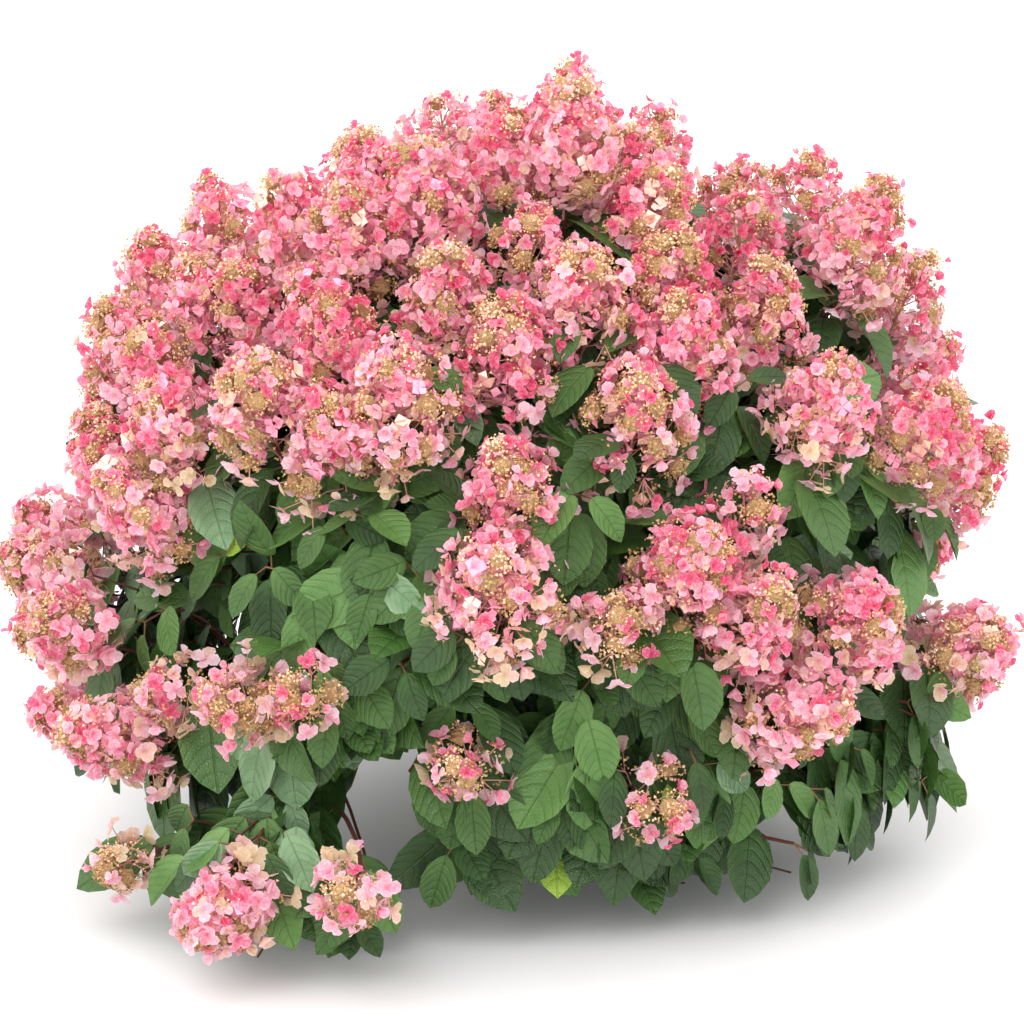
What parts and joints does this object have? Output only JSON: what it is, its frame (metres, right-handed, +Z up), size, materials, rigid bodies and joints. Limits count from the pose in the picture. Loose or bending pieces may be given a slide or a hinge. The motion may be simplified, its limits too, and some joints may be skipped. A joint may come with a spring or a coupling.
{
  "type": "panicle hydrangea shrub",
  "caption": "Rounded flowering shrub rooted in the ground: a woody stump, short stems, arching boughs and masses of dark leaves and pink cone-shaped flower heads.",
  "frame": {"origin": "middle of the flat cut under the stump, at ground level", "axes": "+Z up, -Y to the front of the shrub (the side the picture shows), +X to its right as seen from the front"},
  "size_m": [1.2036, 1.2059, 0.9231],
  "materials": {
    "stump_bark": "rough peeling bark",
    "stem_bark": "flaking brown bark",
    "bough_bark": "thin red-brown bark",
    "blossom": "soft matt petals",
    "foliage": "dark satin leaves"
  },
  "bodies": {
    "root": {"stump": "stump_bark", "stem_front_left": "stem_bark", "bough_front_left_1": "bough_bark", "bough_front_left_2": "bough_bark", "bough_front_left_3": "bough_bark", "stem_front": "stem_bark", "bough_front_1": "bough_bark", "bough_front_2": "bough_bark", "bough_front_3": "bough_bark", "stem_front_right": "stem_bark", "bough_front_right_1": "bough_bark", "bough_front_right_2": "bough_bark", "bough_front_right_3": "bough_bark", "stem_back_right": "stem_bark", "bough_back_right_1": "bough_bark", "bough_back_right_2": "bough_bark", "bough_back_right_3": "bough_bark", "stem_back": "stem_bark", "bough_back_1": "bough_bark", "bough_back_2": "bough_bark", "stem_back_left": "stem_bark", "bough_back_left_1": "bough_bark", "bough_back_left_2": "bough_bark", "bough_back_left_3": "bough_bark", "mass_upper_left": "blossom", "mass_left_front": "blossom", "mass_low_left": "blossom", "mass_leafy_left": "foliage", "mass_bottom_left": "blossom", "mass_out_left": "blossom", "mass_top_left": "blossom", "mass_centre_top": "blossom", "mass_centre": "blossom", "mass_mid_right": "blossom", "mass_bottom_centre": "foliage", "mass_bottom_right": "foliage", "mass_top_front_right": "blossom", "mass_right_centre": "blossom", "mass_right": "blossom", "mass_low_right": "blossom", "mass_out_right": "foliage", "mass_leafy_right": "foliage", "mass_top_right": "blossom", "mass_upper_right": "blossom", "mass_right_back": "blossom", "mass_back_right_upper": "blossom", "mass_right_back_low": "blossom", "mass_back_right_low": "blossom", "mass_top_back": "blossom", "mass_back_upper": "blossom", "mass_back_bottom": "blossom", "mass_back_low": "blossom", "mass_far_upper_left": "blossom", "mass_back_left_upper": "blossom", "mass_left": "blossom", "mass_left_back": "blossom", "mass_left_back_low": "blossom", "mass_back_left_low": "blossom"}
  },
  "joints": []
}
